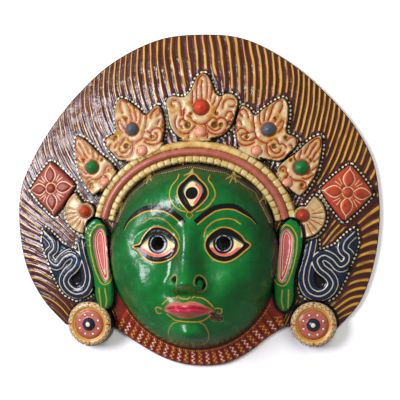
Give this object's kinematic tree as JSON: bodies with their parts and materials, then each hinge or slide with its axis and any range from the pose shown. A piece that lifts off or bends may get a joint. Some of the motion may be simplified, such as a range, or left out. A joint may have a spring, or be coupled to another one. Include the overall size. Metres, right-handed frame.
{
  "type": "tibetan cham mask",
  "caption": "Moulded papier-mache deity mask with a three-eyed face, leafed crown, disc earrings and a wide dome of combed hair, hollow behind and lying on its flat rim.",
  "frame": {"origin": "centre of the mask's bounding box, on the plane of its flat rim", "axes": "+Y to the top of the hair, +X to the right of someone looking at the face, +Z out of the face"},
  "size_m": [0.3631, 0.33, 0.1019],
  "materials": {
    "lacquered_papier_mache": "brush-painted under glossy lacquer: green face, maroon hair, cream crown; bare grey-brown paper pulp behind"
  },
  "bodies": {
    "root": {"mask": "lacquered_papier_mache"}
  },
  "joints": []
}
